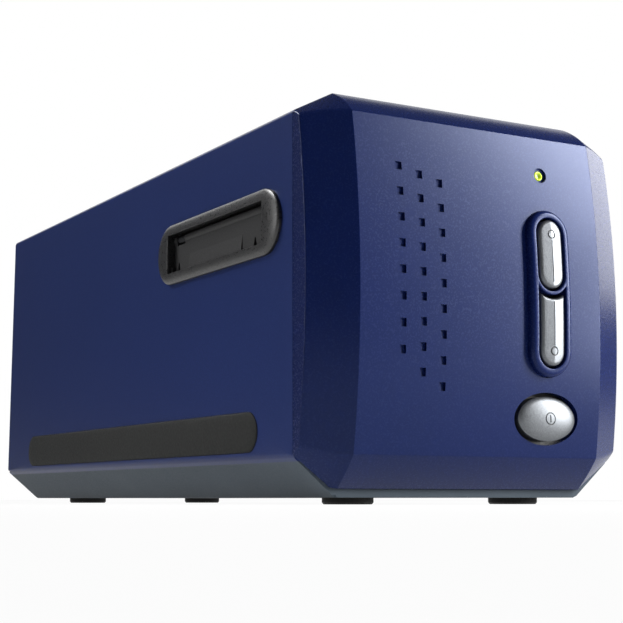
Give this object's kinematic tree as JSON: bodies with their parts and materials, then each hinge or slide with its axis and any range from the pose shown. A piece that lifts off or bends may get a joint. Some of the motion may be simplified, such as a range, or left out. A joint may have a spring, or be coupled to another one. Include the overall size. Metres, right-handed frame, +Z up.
{
  "type": "film scanner",
  "caption": "Box-shaped desktop scanner for film strips and slides, with side slots behind sprung dust doors, a bulged front with push buttons and a lamp-and-lens carriage on rods inside.",
  "frame": {"origin": "on the table, under the centre of the bounding box", "axes": "+Z up, +Y from the front panel to the rear, +X to the right seen from the front"},
  "size_m": [0.1202, 0.271, 0.1218],
  "materials": {
    "housing_blue": "satin deep blue lacquer",
    "bezel_blue": "fine-grained deep blue",
    "base_grey": "light blue-grey metallic lacquer",
    "rubber_black": "matt",
    "rubber_grey": "matt",
    "frame_black": "satin black",
    "steel": "plain",
    "key_silver": "silver lacquer",
    "black_plastic": "moulded",
    "cast_alloy": "die-cast, bead-blasted",
    "lens_black": "black anodised",
    "light_lens": "clear green",
    "lamp_white": "white",
    "board_green": "solder mask",
    "board_white": "white solder mask",
    "brass": "turned",
    "glass": "coated",
    "mirror": "front-silvered",
    "sensor_grey": "ceramic",
    "bearing_plastic": "acetal"
  },
  "bodies": {
    "body": {"upper_housing": "housing_blue", "base_cover": "base_grey", "front_bezel": "bezel_blue", "rear_panel": "housing_blue", "foot_front_left": "rubber_black", "foot_front_right": "rubber_black", "foot_rear_left": "rubber_black", "foot_rear_right": "rubber_black", "grip_pad_left": "rubber_grey", "grip_pad_right": "rubber_grey", "slot_frame_left": "frame_black", "slot_frame_right": "frame_black", "door_pin_left": "steel", "door_pin_right": "steel", "button_surround": "bezel_blue", "tact_switches": "steel", "indicator_lens": "light_lens", "indicator_lamp": "lamp_white", "button_board": "board_green", "chassis": "cast_alloy", "film_guide": "frame_black", "holder_detent": "steel", "guide_rod_left": "steel", "guide_rod_right": "steel", "stepper_motor": "steel", "motor_bracket": "steel", "home_sensor": "frame_black", "main_board": "board_green", "usb_socket": "steel", "power_socket": "frame_black", "housing_screws": "steel", "board_screws": "steel", "panel_screws": "steel"},
    "left_door": {"dust_door_left": "frame_black", "door_spring_left": "steel"},
    "right_door": {"dust_door_right": "frame_black", "door_spring_right": "steel"},
    "upper_button": {"upper_scan_button": "key_silver", "upper_plunger": "black_plastic"},
    "lower_button": {"lower_scan_button": "key_silver", "lower_plunger": "black_plastic"},
    "power_switch": {"power_button": "key_silver", "power_plunger": "black_plastic"},
    "carriage": {"optics_carriage": "black_plastic", "carriage_bushings": "brass", "optics_cover": "frame_black", "mirror": "mirror", "lens_barrel": "lens_black", "lens_glass": "glass", "lens_clamp": "steel", "sensor_board": "board_green", "line_sensor": "sensor_grey", "lamp_arm": "black_plastic", "lamp_housing": "lamp_white", "lamp_diffuser": "lamp_white", "lamp_board": "board_white", "drive_nut": "bearing_plastic"},
    "screw": {"lead_screw": "steel", "screw_gear": "bearing_plastic"},
    "pinion": {"motor_pinion": "brass"}
  },
  "joints": [
    {"name": "left_door_hinge", "type": "hinge", "parent": "body", "child": "left_door", "pos_m": [-0.0563, -0.0676, 0.0886], "axis": [0, -1, 0], "range_deg": [0, 85], "stiffness_Nm_per_rad": 0.001, "springref_deg": -28.65},
    {"name": "right_door_hinge", "type": "hinge", "parent": "body", "child": "right_door", "pos_m": [0.0563, -0.0676, 0.0886], "axis": [0, 1, 0], "range_deg": [0, 85], "stiffness_Nm_per_rad": 0.001, "springref_deg": -28.65},
    {"name": "upper_button_press", "type": "slide", "parent": "body", "child": "upper_button", "axis": [0, 1, 0], "range_m": [0, 0.0008], "stiffness_N_per_m": 800, "springref_m": -0.001},
    {"name": "lower_button_press", "type": "slide", "parent": "body", "child": "lower_button", "axis": [0, 1, 0], "range_m": [0, 0.0008], "stiffness_N_per_m": 800, "springref_m": -0.001},
    {"name": "power_button_press", "type": "slide", "parent": "body", "child": "power_switch", "axis": [0, 1, 0], "range_m": [0, 0.0008], "stiffness_N_per_m": 800, "springref_m": -0.001},
    {"name": "carriage_slide", "type": "slide", "parent": "body", "child": "carriage", "axis": [0, 1, 0], "range_m": [0, 0.027]},
    {"name": "screw_spin", "type": "hinge", "parent": "body", "child": "screw", "pos_m": [-0.01, 0.0526, 0.025], "axis": [0, 1, 0], "range_deg": [-1621, 0]},
    {"name": "pinion_spin", "type": "hinge", "parent": "body", "child": "pinion", "pos_m": [0.004, 0.0826, 0.025], "axis": [0, 1, 0], "range_deg": [0, 4863]}
  ],
  "couplings": [
    {"joint": "screw_spin", "follows": "carriage_slide", "rad_per_m": -1047.2},
    {"joint": "pinion_spin", "follows": "carriage_slide", "rad_per_m": 3141.6}
  ]
}
